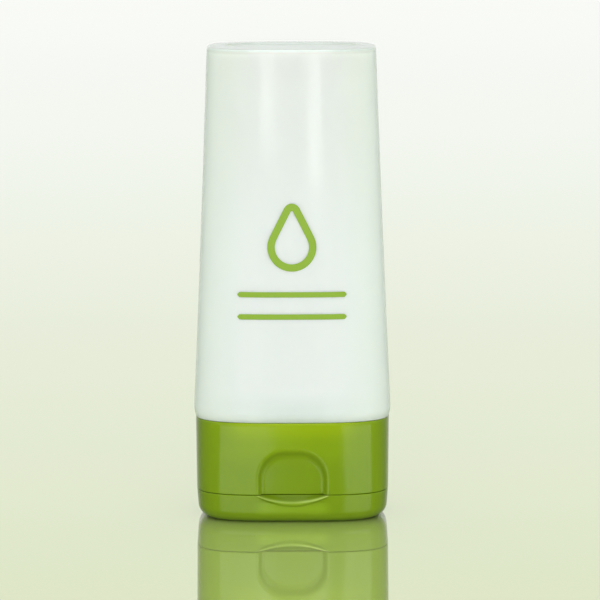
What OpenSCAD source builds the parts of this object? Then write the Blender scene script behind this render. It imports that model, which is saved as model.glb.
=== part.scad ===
// Travel squeeze tube standing on its flip-top cap.
// A blow-moulded bottle tapers up to a flat end. Its neck points down into an oval push-on cap,
// whose lid swings on a moulded film hinge at the back. Origin: middle of the lid's flat outer
// face, +Z up, front (thumb recess) towards -Y, hinge towards +Y.

/* [Bottle] */
// Height of the whole tube, standing on its closed cap
total_h = 124; // [100:0.5:170]
// Width of the bottle just above the cap
body_w = 52.1; // [44:0.5:64]
// Depth of the bottle just above the cap
body_d = 33.3; // [31.5:0.1:42]
// Width of the bottle's flat end
end_w = 44.2; // [36:0.2:56]
// Depth of the bottle's flat end
end_d = 25.7; // [22:0.2:34]
// How far each side draws in from a straight taper, halfway up
body_waist = 0.15; // [0:0.05:1]
// Squareness of the bottle's section: 2 is an ellipse
body_n = 3.2; // [2.2:0.1:5]
// Wall of the bottle
body_wall = 1; // [0.6:0.1:1.6]
// Radius round the edge of the flat end
end_r = 0.6; // [0.4:0.1:3]
// Width of the land that the flat end stands on
end_land = 3; // [2:0.1:5]
// Depth of the sunk panel inside that land
end_sink = 0.3; // [0.1:0.1:1.5]
// Height over which the bottle rounds in to meet the cap
foot_h = 2.6; // [1:0.1:5]
// How far it rounds in, to stand flush with the cap's rim
foot_in = 0.55; // [0.3:0.05:1]

/* [Neck] */
// Outside diameter of the neck
neck_d = 20; // [16:0.5:21]
// Wall of the neck
neck_wall = 1.5; // [1:0.1:2]
// How far the snap bead stands out from the neck
bead_out = 0.7; // [0.4:0.05:1]
// Height of the snap bead
bead_h = 1.6; // [1.2:0.1:2.2]
// Length of neck between its mouth and the snap bead
bead_up = 6.5; // [5:0.1:8]
// Fillet at the root of the neck
root_r = 1.2; // [0.6:0.1:2]
// Width of each lug that lines the cap up with the bottle
lug_w = 2.4; // [1.6:0.1:3.5]

/* [Cap] */
// Height of the closed cap
cap_h = 26.8; // [24:0.1:34]
// Height of the lid
lid_h = 7.6; // [7.2:0.1:9]
// How far each side of the cap draws in from rim to seam
cap_draft = 0.2; // [0:0.02:0.6]
// How far each side of the lid draws in from seam to edge
lid_draft = 0.3; // [0:0.02:0.6]
// Squareness of the cap's section at the seam
seam_n = 3.5; // [2.2:0.1:5]
// Wall of the cap and the lid
cap_wall = 1.2; // [0.9:0.05:1.6]
// Radius of the lid's outer edge
lid_edge_r = 3.5; // [1.6:0.1:4]
// Rounding of the lips on both sides of the seam
seam_r = 0.18; // [0.08:0.02:0.3]
// Gap between lid and base at the seam
seam_gap = 0.12; // [0.08:0.02:0.24]
// Thickness of the deck across the base
deck_t = 1.6; // [1.2:0.1:2.2]
// How far the deck stands into the lid
deck_up = 1; // [0.6:0.1:1.4]
// Wall of the collar that grips the neck
collar_wall = 1.1; // [0.8:0.1:1.4]
// Height of the collar
collar_h = 14; // [12.5:0.1:15.5]

/* [Spout] */
// Diameter of the hole that the contents leave by
orifice_d = 5.8; // [3:0.1:6.6]
// Wall of the nozzle round its mouth
nozzle_wall = 1.2; // [0.8:0.1:1.6]
// Diameter of the nozzle at its foot
nozzle_d = 12; // [11.4:0.1:14]
// How far the nozzle stands out from the deck
nozzle_h = 2; // [1.4:0.1:2.4]
// How far the lid's pin reaches into the hole
pin_in = 1; // [0.6:0.1:1.2]
// Length of the plug seal inside the neck
plug_h = 2.6; // [1.5:0.1:4]

/* [Thumb recess] */
// Width of the recess at the cap's face
thumb_w = 18.2; // [15:0.2:22]
// Height of the recess above the seam
thumb_h = 11.8; // [8:0.1:14]
// Radius of its two upper corners
thumb_r = 7.2; // [4:0.1:7.4]
// Depth of its floor
thumb_in = 1.45; // [0.8:0.05:1.6]
// Width of the slope down its two sides
thumb_slope = 1.15; // [0.6:0.05:1.6]
// Width of the slope under its top
thumb_top_slope = 1.9; // [1:0.1:2.6]
// How far the scoop drops below the seam, at the lid's face
scoop_drop = 1.5; // [1:0.1:2.4]
// How far the lid's lip stands out under the scoop
lip_out = 0.45; // [0.2:0.05:0.6]
// Height of the lip
lip_h = 1.4; // [0.8:0.1:2]

/* [Hinge] */
// Overall width of the film hinge
hinge_w = 16; // [12:0.5:20]
// Thickness of the film
film_t = 0.24; // [0.16:0.02:0.3]
// Width of the two slots that part the film into three bands
film_slot = 1.4; // [0.8:0.1:2]
// Distance of the film's fold from the cap's back
hinge_out = 0.2; // [0.15:0.05:0.25]

/* [Clearances] */
// Gap between the bottle's shoulder and the cap's rim
seat_gap = 0.1; // [0.05:0.05:0.2]
// Radial gap between neck parts and cap parts that slide together
fit_gap = 0.15; // [0.1:0.05:0.25]
// Gap between the deck's edge and the lid's wall
lid_gap = 0.3; // [0.2:0.05:0.5]
// Radial gap between the lid's pin and the hole
pin_gap = 0.16; // [0.12:0.02:0.3]

/* [Hidden] */
$fn = 96;
milky = [0.91, 0.95, 0.92];
apple_green = [0.52, 0.64, 0.12];
ring_points = 72;          // points round one section of the oval
arc_steps = 5;             // steps round a moulded edge
scoop_corner_steps = 7;    // steps round each upper corner of the thumb recess
scoop_base_steps = 12;     // steps along its lower edge
floor_drop = 0.15;         // share of the scoop's drop that its floor has
embed = 0.4;               // how deep a feature is rooted in the wall that carries it
lead = 0.5;                // chamfer on the edges that find their way in
sink_slope = 3;            // width of the slope down to the sunk panel

// Levels
seam_z = lid_h;
base_z = seam_z + seam_gap / 2;
lid_top_z = seam_z - seam_gap / 2;
foot_z = cap_h + seat_gap;
deck_out_z = base_z - deck_up;
deck_in_z = deck_out_z + deck_t;
neck_end_z = deck_in_z + seat_gap;
bead_z = neck_end_z + bead_up;
snap_z = bead_z + bead_h + fit_gap;
collar_top_z = deck_in_z + collar_h;
nozzle_z = deck_out_z - nozzle_h;
slot_h = 3;                // depth of the slot that each lug drops into

// Half sizes of the cap's oval, at its rim and at its seam
rim_a = body_w / 2 - foot_in;
rim_b = body_d / 2 - foot_in;
seam_a = rim_a - cap_draft;
seam_b = rim_b - cap_draft;

// Radii round the neck
neck_r = neck_d / 2;
bead_r = neck_r + bead_out;
collar_in_r = bead_r + fit_gap;
collar_out_r = collar_in_r + collar_wall;
snap_r = neck_r + 2 * fit_gap;
bore_r = neck_r - neck_wall;
plug_r = bore_r - fit_gap;
orifice_r = orifice_d / 2;
pin_r = orifice_r - pin_gap;

// The film's fold
axis_y = seam_b + hinge_out;
fold_in_r = seam_gap / 2;
fold_out_r = fold_in_r + film_t;
band_w = (hinge_w - 2 * film_slot) / 3;

function mix(from, to, share) = from + (to - from) * share;

// One oval ring: a superellipse of half sizes a and b, |x/a|^n + |y/b|^n = 1, at height z
function oval(a, b, n, z) = [
    for (i = [0:ring_points - 1])
        let (c = cos(360 * i / ring_points), s = sin(360 * i / ring_points))
        [a * sign(c) * pow(abs(c), 2 / n), b * sign(s) * pow(abs(s), 2 / n), z]
];

function middle(ring) = [for (k = [0:2]) (max([for (p = ring) p[k]]) + min([for (p = ring) p[k]])) / 2];

// Closed skin through a list of rings, with a fan of triangles over each end
module loft(rings) {
    n = len(rings[0]);
    last = len(rings) - 1;
    points = concat([for (r = rings) each r], [middle(rings[0]), middle(rings[last])]);
    foot = len(points) - 2;
    polyhedron(points, concat(
        [for (k = [0:last - 1], i = [0:n - 1]) [k * n + i, (k + 1) * n + i, (k + 1) * n + (i + 1) % n]],
        [for (k = [0:last - 1], i = [0:n - 1]) [k * n + i, (k + 1) * n + (i + 1) % n, k * n + (i + 1) % n]],
        [for (i = [0:n - 1]) [foot, i, (i + 1) % n]],
        [for (i = [0:n - 1]) [foot + 1, last * n + (i + 1) % n, last * n + i]]
    ));
}

// Half sizes of the bottle at a share of the height between foot and end
function body_a(share) = mix(body_w, end_w, share) / 2 - body_waist * 4 * share * (1 - share);
function body_b(share) = mix(body_d, end_d, share) / 2 - body_waist * 4 * share * (1 - share);
function body_share(z) = (z - foot_z) / (total_h - foot_z);
function body_ring(z, inset) =
    oval(body_a(body_share(z)) - inset, body_b(body_share(z)) - inset, body_n, z);

// The bottle's skin, or with an offset the skin of the space inside it
function body_rings(offset) = concat(
    [for (i = [0:arc_steps])
        let (up = max(offset, foot_h * i / arc_steps))
        if (i == 0 || up > offset) body_ring(foot_z + up, offset + foot_in * pow(1 - up / foot_h, 2))],
    [for (i = [1:4]) body_ring(mix(foot_z + foot_h, total_h - end_r, i / 5), offset)],
    [for (i = [0:arc_steps])
        let (r = max(end_r - offset, 0.3), t = 90 * i / arc_steps)
        body_ring(total_h - offset - r + r * sin(t), offset + r - r * cos(t))],
    [for (i = [0:3])
        body_ring(total_h - offset - end_sink * (1 - cos(60 * i)) / 2, end_r + end_land + sink_slope * i / 3)]
);

module bottle() {
    color(milky)
    difference() {
        union() {
            loft(body_rings(0));
            translate([0, 0, neck_end_z]) cylinder(r = neck_r, h = foot_z + embed - neck_end_z);
            neck_root();
            neck_bead();
            for (side = [0, 180]) rotate([0, 0, side]) neck_lug();
        }
        loft(body_rings(body_wall));
        translate([0, 0, neck_end_z - 1])
            cylinder(r = bore_r, h = foot_z + body_wall + embed + 1 - neck_end_z);
    }
}

// Fillet between the neck and the bottle's shoulder
module neck_root() {
    rotate_extrude()
        polygon(concat(
            [[neck_r - embed, foot_z - root_r], [neck_r, foot_z - root_r]],
            [for (i = [1:arc_steps])
                let (t = 90 * i / arc_steps)
                [neck_r + root_r * (1 - cos(t)), foot_z - root_r * (1 - sin(t))]],
            [[neck_r + root_r, foot_z + embed], [neck_r - embed, foot_z + embed]]
        ));
}

// Bead that the collar snaps over, with a long lead-in towards the mouth
module neck_bead() {
    rotate_extrude()
        polygon([[neck_r - embed, bead_z - bead_out],
                 [neck_r, bead_z - bead_out],
                 [bead_r, bead_z + lead],
                 [bead_r, bead_z + bead_h],
                 [neck_r - embed, bead_z + bead_h]]);
}

// Lug at the root of the neck, which drops into a slot of the collar
module neck_lug() {
    lug_z = collar_top_z - slot_h + 2 * fit_gap;
    translate([neck_r - embed, -lug_w / 2, lug_z])
        cube([collar_out_r - neck_r + embed, lug_w, foot_z + embed - lug_z]);
}

// Half sizes and squareness of the cap's outside at height z, rim and lid alike
function base_share(z) = (z - seam_z) / (cap_h - seam_z);
function lid_share(z) = (seam_z - z) / (seam_z - lid_edge_r);
function cap_a(z) = z > seam_z ? mix(seam_a, rim_a, base_share(z)) : seam_a - lid_draft * lid_share(z);
function cap_b(z) = z > seam_z ? mix(seam_b, rim_b, base_share(z)) : seam_b - lid_draft * lid_share(z);
function cap_n(z) = z > seam_z ? mix(seam_n, body_n, base_share(z)) : seam_n;
function cap_ring(z, inset) = oval(cap_a(z) - inset, cap_b(z) - inset, cap_n(z), z);
function cap_front(x, z) = -cap_b(z) * pow(1 - pow(abs(x) / cap_a(z), cap_n(z)), 1 / cap_n(z));

// Outline of the thumb recess in the front view: an arch above the seam, a smile below it
function scoop_outline(w, top, r, drop, low) = concat(
    [for (i = [0:scoop_base_steps])
        let (x = mix(-w, w, i / scoop_base_steps)) [x, seam_z - low - drop * (1 - pow(x / w, 2))]],
    [for (i = [0:scoop_corner_steps])
        let (t = 90 * i / scoop_corner_steps) [w - r + r * cos(t), seam_z + top - r + r * sin(t)]],
    [for (i = [0:scoop_corner_steps])
        let (t = 90 + 90 * i / scoop_corner_steps) [r - w + r * cos(t), seam_z + top - r + r * sin(t)]]
);

// The outline laid on the cap's front at a depth behind it, drawn together to a share of its size
function scoop_ring(outline, depth, share) = [
    for (p = outline)
        let (x = p[0] * share, z = mix(seam_z + thumb_h / 2, p[1], share))
        [x, cap_front(x, z) + depth, z]
];

// What the thumb recess takes out of base and lid. Grown, it keeps their walls behind it.
module thumb_scoop(grow) {
    w = thumb_w / 2 + grow;
    top = thumb_h + grow;
    r = thumb_r + grow;
    floor_edge = scoop_outline(w - thumb_slope, top - thumb_top_slope, r - thumb_slope,
                               scoop_drop * floor_drop, grow);
    face_edge = scoop_outline(w, top, r, scoop_drop, grow);
    proud = 1.2;           // how far the cutter reaches out in front of the cap
    spread = proud / thumb_in;
    outer_edge = scoop_outline(w + thumb_slope * spread, top + thumb_top_slope * spread,
                               r + thumb_slope * spread, scoop_drop * (1 + (1 - floor_drop) * spread), grow);
    loft(concat(
        [for (share = [1 / 3, 2 / 3, 1]) scoop_ring(floor_edge, thumb_in + grow, share)],
        [scoop_ring(face_edge, 0, 1), scoop_ring(outer_edge, -proud, 1)]
    ));
}

module cap_base() {
    color(apple_green)
    difference() {
        union() {
            base_skirt();
            base_deck();
            base_collar();
            nozzle();
            hinge_land(base_z, 1);
        }
        orifice();
    }
}

// Oval skirt with the thumb recess, open towards the bottle
module base_skirt() {
    difference() {
        loft(concat(
            [cap_ring(base_z, seam_r)],
            [for (i = [0:3]) cap_ring(mix(base_z + seam_r, cap_h - seam_r, i / 3), 0)],
            [cap_ring(cap_h, seam_r)]
        ));
        difference() {
            loft([cap_ring(deck_in_z, cap_wall), cap_ring(cap_h + 1, cap_wall)]);
            thumb_scoop(cap_wall);
        }
        thumb_scoop(0);
    }
}

// Raised deck that centres the lid
module base_deck() {
    difference() {
        translate([0, 0, deck_out_z]) linear_extrude(deck_up + embed)
            polygon([for (p = cap_ring(seam_z, cap_wall + lid_gap)) [p[0], p[1]]]);
        thumb_scoop(cap_wall + lid_gap);
    }
}

// Collar with its snap ring, and inside it the plug that seals the neck
module base_collar() {
    difference() {
        rotate_extrude()
            polygon([[collar_in_r, deck_in_z - embed], [collar_out_r, deck_in_z - embed],
                     [collar_out_r, collar_top_z], [collar_in_r, collar_top_z],
                     [collar_in_r, snap_z + bead_h + lead], [snap_r, snap_z + bead_h - lead],
                     [snap_r, snap_z], [collar_in_r, snap_z]]);
        for (side = [0, 180]) rotate([0, 0, side]) collar_slot();
    }
    rotate_extrude()
        polygon([[plug_r - cap_wall, deck_in_z - embed], [plug_r, deck_in_z - embed],
                 [plug_r, deck_in_z + plug_h - 2 * lead], [plug_r - lead, deck_in_z + plug_h],
                 [plug_r - cap_wall, deck_in_z + plug_h]]);
}

module collar_slot() {
    translate([snap_r, -lug_w / 2 - fit_gap, collar_top_z - slot_h])
        cube([collar_out_r, lug_w + 2 * fit_gap, slot_h + 1]);
}

// Nozzle on the deck, crowned round the hole
module nozzle() {
    mouth_r = orifice_r + nozzle_wall;
    rotate_extrude()
        polygon([[0, deck_out_z + embed], [nozzle_d / 2, deck_out_z + embed], [nozzle_d / 2, deck_out_z],
                 [nozzle_d / 2 - lead, deck_out_z - lead / 2], [mouth_r + lead, nozzle_z + lead / 2],
                 [mouth_r, nozzle_z], [0, nozzle_z]]);
}

module orifice() {
    translate([0, 0, nozzle_z - 1]) cylinder(r = orifice_r, h = deck_in_z - nozzle_z + 2);
    rotate_extrude()
        polygon([[0, nozzle_z - lead], [orifice_r + 2 * lead, nozzle_z - lead],
                 [orifice_r, nozzle_z + lead], [0, nozzle_z + lead]]);
}

// Straight land on the cap's bowed back, which carries the film; side is 1 on the base, -1 on the lid
module hinge_land(z, side) {
    low = side > 0 ? z : z - film_t;
    for (k = [-1:1])
        translate([k * (band_w + film_slot) - band_w / 2, seam_b - cap_wall / 2, low])
            cube([band_w, axis_y - seam_b + cap_wall / 2, film_t]);
}

// The film itself, folded back on itself while the lid is closed
module hinge_film() {
    color(apple_green)
    for (k = [-1:1])
        translate([k * (band_w + film_slot) - band_w / 2, axis_y, seam_z])
            rotate([90, 0, 90]) linear_extrude(band_w) intersection() {
                difference() {
                    circle(r = fold_out_r);
                    circle(r = fold_in_r);
                }
                translate([0, -fold_out_r]) square([fold_out_r, 2 * fold_out_r]);
            }
}

// Closed lid: a shallow oval tray with the pin that plugs the hole
module cap_lid() {
    color(apple_green) {
        difference() {
            union() {
                loft(lid_rings(0));
                lid_lip();
            }
            difference() {
                loft(lid_rings(cap_wall));
                thumb_scoop(cap_wall);
            }
            thumb_scoop(0);
        }
        lid_pin();
        hinge_land(lid_top_z, -1);
    }
}

function lid_rings(offset) = concat(
    [for (i = [0:arc_steps + 1])
        let (r = lid_edge_r - offset, t = 90 * i / (arc_steps + 1))
        cap_ring(offset + r - r * cos(t), offset + r - r * sin(t) - lid_draft * (1 - i / (arc_steps + 1)))],
    offset > 0
        ? [cap_ring(lid_top_z + 1, offset)]
        : [cap_ring(lid_top_z - seam_r, 0), cap_ring(lid_top_z, seam_r)]
);

// Lip under the scoop, where the thumb catches the lid
module lid_lip() {
    w = thumb_w / 2;
    crest = scoop_drop * (1 + (1 - floor_drop) * lip_out / thumb_in);
    root = scoop_outline(w + 2.5 * lip_out, thumb_h, thumb_r, crest + lip_h + embed, 0);
    face = scoop_outline(w + 2 * lip_out, thumb_h, thumb_r, crest + lip_h, 0);
    edge = scoop_outline(w + lip_out, thumb_h, thumb_r, crest + lip_h / 3, 0);
    intersection() {
        loft([scoop_ring(root, embed, 0.5), scoop_ring(root, embed, 1), scoop_ring(face, 0, 1),
              scoop_ring(edge, -lip_out, 1)]);
        translate([-body_w / 2, -body_d, 0]) cube([body_w, body_d, lid_top_z]);
    }
}

module lid_pin() {
    tip_z = nozzle_z + pin_in;
    foot_r = pin_r + 2 * lead;
    rotate_extrude()
        polygon([[0, cap_wall - embed], [foot_r, cap_wall - embed], [foot_r, cap_wall],
                 [pin_r, cap_wall + 2 * lead], [pin_r, tip_z - lead], [pin_r - lead, tip_z], [0, tip_z]]);
}

bottle();
cap_base();
hinge_film();
cap_lid();
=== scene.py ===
# %% [markdown]
# A travel squeeze tube: an oval bottle of milky plastic, standing on its apple-green flip-top cap.
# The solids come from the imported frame. This file dresses them: it makes each piece again as a
# finer surface of the same form, gives it a moulded plastic finish, and sets up floor and light.
# Sizes are in millimetres, as on a drawing, and only the last step of each mesh turns them to metres.

# %% Load the frame
import math

import bpy
import numpy as np
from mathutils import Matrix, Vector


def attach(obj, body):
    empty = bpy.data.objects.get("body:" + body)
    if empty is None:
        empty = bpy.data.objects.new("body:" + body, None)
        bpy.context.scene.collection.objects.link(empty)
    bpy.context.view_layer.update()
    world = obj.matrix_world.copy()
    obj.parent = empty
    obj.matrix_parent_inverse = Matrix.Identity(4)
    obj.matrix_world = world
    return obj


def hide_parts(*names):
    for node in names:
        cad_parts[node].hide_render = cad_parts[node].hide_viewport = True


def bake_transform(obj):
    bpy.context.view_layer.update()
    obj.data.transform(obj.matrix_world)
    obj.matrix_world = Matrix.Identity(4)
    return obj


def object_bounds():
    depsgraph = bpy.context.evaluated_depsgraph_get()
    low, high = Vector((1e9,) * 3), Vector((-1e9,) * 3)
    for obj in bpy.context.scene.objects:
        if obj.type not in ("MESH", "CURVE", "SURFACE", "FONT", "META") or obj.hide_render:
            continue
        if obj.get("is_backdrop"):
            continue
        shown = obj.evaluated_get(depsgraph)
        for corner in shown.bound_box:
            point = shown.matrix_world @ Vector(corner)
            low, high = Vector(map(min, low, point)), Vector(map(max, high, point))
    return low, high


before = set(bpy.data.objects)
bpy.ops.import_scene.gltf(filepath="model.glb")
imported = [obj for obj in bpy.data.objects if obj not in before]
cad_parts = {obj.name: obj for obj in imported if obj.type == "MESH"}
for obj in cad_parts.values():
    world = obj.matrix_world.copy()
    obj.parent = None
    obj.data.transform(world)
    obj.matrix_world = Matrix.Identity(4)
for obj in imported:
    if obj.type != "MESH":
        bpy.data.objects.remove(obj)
cad_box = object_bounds()
MM = 0.001
print("nodes:", sorted(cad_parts))

# %% [markdown]
# A moulded product is drawn from a handful of sizes. These are the ones the solids were made with,
# so each finer surface lies exactly where its solid does.

# %% Sizes of the bottle
TOTAL_H = 124.0
BODY_W, BODY_D = 52.1, 33.3   # the widest section, just above the cap
END_W, END_D = 44.2, 25.7     # the section at the flat end
BODY_WAIST = 0.15
BODY_POWER = 3.2              # how square the oval is; 2 would be an ellipse
BODY_WALL = 1.0
END_R, END_LAND, END_SINK, SINK_SLOPE = 0.6, 3.0, 0.3, 3.0
FOOT_H, FOOT_IN = 2.6, 0.55   # the wall draws in by this much towards the cap
NECK_R, NECK_BORE_R = 10.0, 8.5
BEAD_OUT, BEAD_H, BEAD_UP, ROOT_R, LUG_W = 0.7, 1.6, 6.5, 1.2, 2.4

# %% Sizes of the cap
CAP_H, LID_H = 26.8, 7.6
CAP_DRAFT, LID_DRAFT, SEAM_POWER = 0.2, 0.3, 3.5
CAP_WALL, LID_EDGE_R, SEAM_R, SEAM_GAP = 1.2, 3.5, 0.18, 0.12
DECK_T, DECK_UP, DECK_R = 1.6, 1.0, 0.2
COLLAR_WALL, COLLAR_H, SLOT_H = 1.1, 14.0, 3.0
ORIFICE_R, NOZZLE_WALL, NOZZLE_R, NOZZLE_H = 2.9, 1.2, 6.0, 2.0
PIN_IN, PIN_GAP, PLUG_H, LEAD = 1.0, 0.16, 2.6, 0.5
THUMB_HALF, THUMB_H, THUMB_R, THUMB_IN = 9.1, 11.8, 7.2, 1.45
THUMB_SLOPE, THUMB_TOP_SLOPE, SCOOP_DROP, FLOOR_DROP = 1.15, 1.9, 1.5, 0.15
LIP_OUT, LIP_H = 0.45, 1.4
HINGE_W, FILM_T, FILM_SLOT, HINGE_OUT = 16.0, 0.24, 1.4, 0.2
SEAT_GAP, FIT_GAP, LID_GAP = 0.1, 0.15, 0.3

# %% Levels and half sizes that follow from them
SEAM_Z = LID_H
BASE_Z, LID_TOP_Z = SEAM_Z + SEAM_GAP / 2, SEAM_Z - SEAM_GAP / 2
FOOT_Z = CAP_H + SEAT_GAP
DECK_OUT_Z = BASE_Z - DECK_UP
DECK_IN_Z = DECK_OUT_Z + DECK_T
NECK_END_Z = DECK_IN_Z + SEAT_GAP
BEAD_Z = NECK_END_Z + BEAD_UP
SNAP_Z = BEAD_Z + BEAD_H + FIT_GAP
COLLAR_TOP_Z = DECK_IN_Z + COLLAR_H
NOZZLE_Z = DECK_OUT_Z - NOZZLE_H
RIM_A, RIM_B = BODY_W / 2 - FOOT_IN, BODY_D / 2 - FOOT_IN
SEAM_A, SEAM_B = RIM_A - CAP_DRAFT, RIM_B - CAP_DRAFT
AXIS_Y = SEAM_B + HINGE_OUT
COLLAR_IN_R = NECK_R + BEAD_OUT + FIT_GAP
COLLAR_OUT_R = COLLAR_IN_R + COLLAR_WALL
SNAP_R = NECK_R + 2 * FIT_GAP
PLUG_R = NECK_BORE_R - FIT_GAP
# The slope of the recess's floor, carried on past the face, gives where the lip's crest hangs
CREST_DROP = SCOOP_DROP * (1 + (1 - FLOOR_DROP) * LIP_OUT / THUMB_IN)
print("seam at", SEAM_Z, "mm, bottle from", round(FOOT_Z, 2), "mm")

# %% [markdown]
# The photograph looks down on the tube by about nine degrees through a long lens, so its sides
# hardly converge. The camera goes first, because it settles how large each detail will be seen.

# %% Camera
PIXELS = 600                  # side of the photograph
PIXELS_PER_MM = 3.798         # at the middle of the tube
LOOK_DOWN = math.radians(9.0)
ROLL = math.radians(-0.15)    # the photographed bottle leans a little to the left
DISTANCE = 1050.0
SENSOR = 36.0
AIM_X, AIM_UP = 2.08, -5.1    # how far the photograph's middle lies from the tube's, in mm


def make_camera():
    """A camera at DISTANCE from the aim, raised by LOOK_DOWN. Its lens makes one millimetre at
    the aim as large as in the photograph: lens = sensor * distance / width seen there."""
    up = TOTAL_H / 2 + AIM_UP * math.cos(LOOK_DOWN)
    aim = np.array([AIM_X, AIM_UP * math.sin(LOOK_DOWN), up])
    back = np.array([0, -math.cos(LOOK_DOWN), math.sin(LOOK_DOWN)])
    data = bpy.data.cameras.new("camera")
    data.sensor_width = SENSOR
    data.lens = SENSOR * DISTANCE / (PIXELS / PIXELS_PER_MM)
    data.clip_start, data.clip_end = 0.05, 50.0
    camera = bpy.data.objects.new("camera", data)
    bpy.context.scene.collection.objects.link(camera)
    camera.location = (aim + back * DISTANCE) * MM
    camera.rotation_mode = "ZYX"
    camera.rotation_euler = (math.pi / 2 - LOOK_DOWN, 0, ROLL)
    bpy.context.scene.camera = camera
    print("lens", round(data.lens, 1), "mm")


make_camera()

# %% [markdown]
# The section of bottle and cap is a superellipse, an oval with flattened sides. Its own parameter
# leaves large steps in the middle of the flat front, just where the thumb recess is. So the
# columns of all surfaces are placed by distance along the oval, and closer together at the recess.

# %% Oval and its columns
FINE_TO, COARSE_FROM = 11, 16     # mm along the oval from the middle of its front
TRACED = 4000                     # points that measure each half of a quarter
FLAT_SHARE = 0.8                  # share of the half width that is measured by x, the rest by y


def quarter_turns(fine, coarse):
    """Parameters of the oval from the middle of its long side to the middle of its short side.
    The step along the oval is fine up to FINE_TO and grows until it is coarse at COARSE_FROM."""
    x = np.linspace(0, FLAT_SHARE * SEAM_A, TRACED)
    y = SEAM_B * (1 - (x / SEAM_A) ** SEAM_POWER) ** (1 / SEAM_POWER)
    y_end = np.linspace(y[-1], 0, TRACED)[1:]
    x_end = SEAM_A * (1 - (y_end / SEAM_B) ** SEAM_POWER) ** (1 / SEAM_POWER)
    x, y = np.append(x, x_end), np.append(y, y_end)
    along = np.append(0, np.cumsum(np.hypot(np.diff(x), np.diff(y))))
    step = np.interp(along, [FINE_TO, COARSE_FROM], [fine, coarse])
    count = np.append(0, np.cumsum(np.diff(along) * 2 / (step[1:] + step[:-1])))
    pick = np.linspace(0, count[-1], int(round(count[-1])) + 1)
    x, y = np.interp(pick, count, x), np.interp(pick, count, y)
    return np.arctan2((y / SEAM_B) ** (SEAM_POWER / 2), (x / SEAM_A) ** (SEAM_POWER / 2))


def columns(front_step, coarse):
    """All columns anticlockwise from the middle of the front, with the quarters mirrored."""
    front = -quarter_turns(front_step, coarse)
    back = quarter_turns(coarse, coarse)[::-1]
    right = np.append(front, back[1:])
    return np.append(right, (np.pi - right)[::-1][1:-1])


def signed_power(value, power):
    return np.sign(value) * np.abs(value) ** power


def oval(half_x, half_y, power, z, turn):
    """Rows of an oval: x = half_x cos^(2/power), y = half_y sin^(2/power), with their signs kept.
    The sizes may be numbers or one value a row."""
    sizes = (half_x, half_y, power, z)
    half_x, half_y, power, z = (np.atleast_1d(v).astype(float)[:, None] for v in sizes)
    x = half_x * signed_power(np.cos(turn), 2 / power)
    y = half_y * signed_power(np.sin(turn), 2 / power)
    return np.stack([x, y, z + 0 * x], axis=-1)


CAP_TURN = columns(front_step=0.26, coarse=0.8)
BODY_TURN = columns(front_step=0.75, coarse=0.75)
print("columns:", len(CAP_TURN), "on the cap,", len(BODY_TURN), "on the bottle")

# %% [markdown]
# Neck, collar and nozzle are round, and a lathe would turn them from a profile. Their rows use the
# same columns as the ovals, each in the direction in which the oval's own column lies, so that a
# row can run from oval to round without twisting.

# %% Round rows, and rows between two rows
CORNER_ROWS = 4               # rows that a softened corner gets
MOST_OF_SIDE = 0.45           # a corner takes no more than this share of the side next to it


def directions(turn):
    """Angle round the axis at which each column of the seam's oval lies."""
    seam = oval(SEAM_A, SEAM_B, SEAM_POWER, 0, turn)[0]
    return np.arctan2(seam[:, 1], seam[:, 0])


def soften(profile, radius):
    """A profile of (radius, height) points with each inner corner turned into a small curve:
    the curve's ends lie on both sides, and it is a quadratic blend between them."""
    profile = np.array(profile, float)
    out = [profile[:1]]
    share = np.linspace(0, 1, CORNER_ROWS)[:, None]
    for before, corner, after in zip(profile[:-2], profile[1:-1], profile[2:]):
        a, b = before - corner, after - corner
        reach = min(radius, MOST_OF_SIDE * np.linalg.norm(a), MOST_OF_SIDE * np.linalg.norm(b))
        start = corner + a / np.linalg.norm(a) * reach
        end = corner + b / np.linalg.norm(b) * reach
        out.append((1 - share) ** 2 * start + 2 * share * (1 - share) * corner + share ** 2 * end)
    out.append(profile[-1:])
    return np.concatenate(out)


def lathe(profile, turn):
    """Round rows: each (radius, height) point of the profile is carried once round the axis."""
    profile = np.array(profile, float)
    angle = directions(turn)
    x = profile[:, :1] * np.cos(angle)
    y = profile[:, :1] * np.sin(angle)
    return np.stack([x, y, profile[:, 1:] + 0 * x], axis=-1)


def between(row, other, count):
    """count rows part of the way from one row to the other, in equal shares."""
    share = (np.arange(count) + 1)[:, None, None] / (count + 1)
    return row[None] * (1 - share) + other[None] * share


print("first columns lie at", np.degrees(directions(CAP_TURN)[:3]).round(1), "degrees")

# %% [markdown]
# Every piece becomes one grid of rows and columns. The columns close round the axis. The rows
# either close as well, as on a part with a hole through it, or end in a pole at each end. Faces
# are listed anticlockwise as seen from outside, which is what makes them point outwards.

# %% Grid to mesh


def mesh_object(name, points, faces, sharp_angle=40):
    """A mesh from points in millimetres, smooth apart from edges sharper than the angle."""
    mesh = bpy.data.meshes.new(name)
    mesh.from_pydata((points * MM).tolist(), [], faces)
    mesh.validate()
    mesh.shade_smooth()
    mesh.set_sharp_from_angle(angle=math.radians(sharp_angle))
    piece = bpy.data.objects.new(name, mesh)
    bpy.context.scene.collection.objects.link(piece)
    print(name, len(mesh.polygons), "faces")
    return piece


def grid_faces(rows, count, wrap_rows, first=0):
    """Quads of a grid whose columns close; they face outwards where rows climb an outer wall."""
    row = np.arange(rows if wrap_rows else rows - 1)[:, None] * count
    above = (row + count) % (rows * count)
    here = np.arange(count)[None]
    after = (here + 1) % count
    quads = np.stack([row + here, row + after, above + after, above + here], -1)
    return (quads.reshape(-1, 4) + first).tolist()


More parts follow.
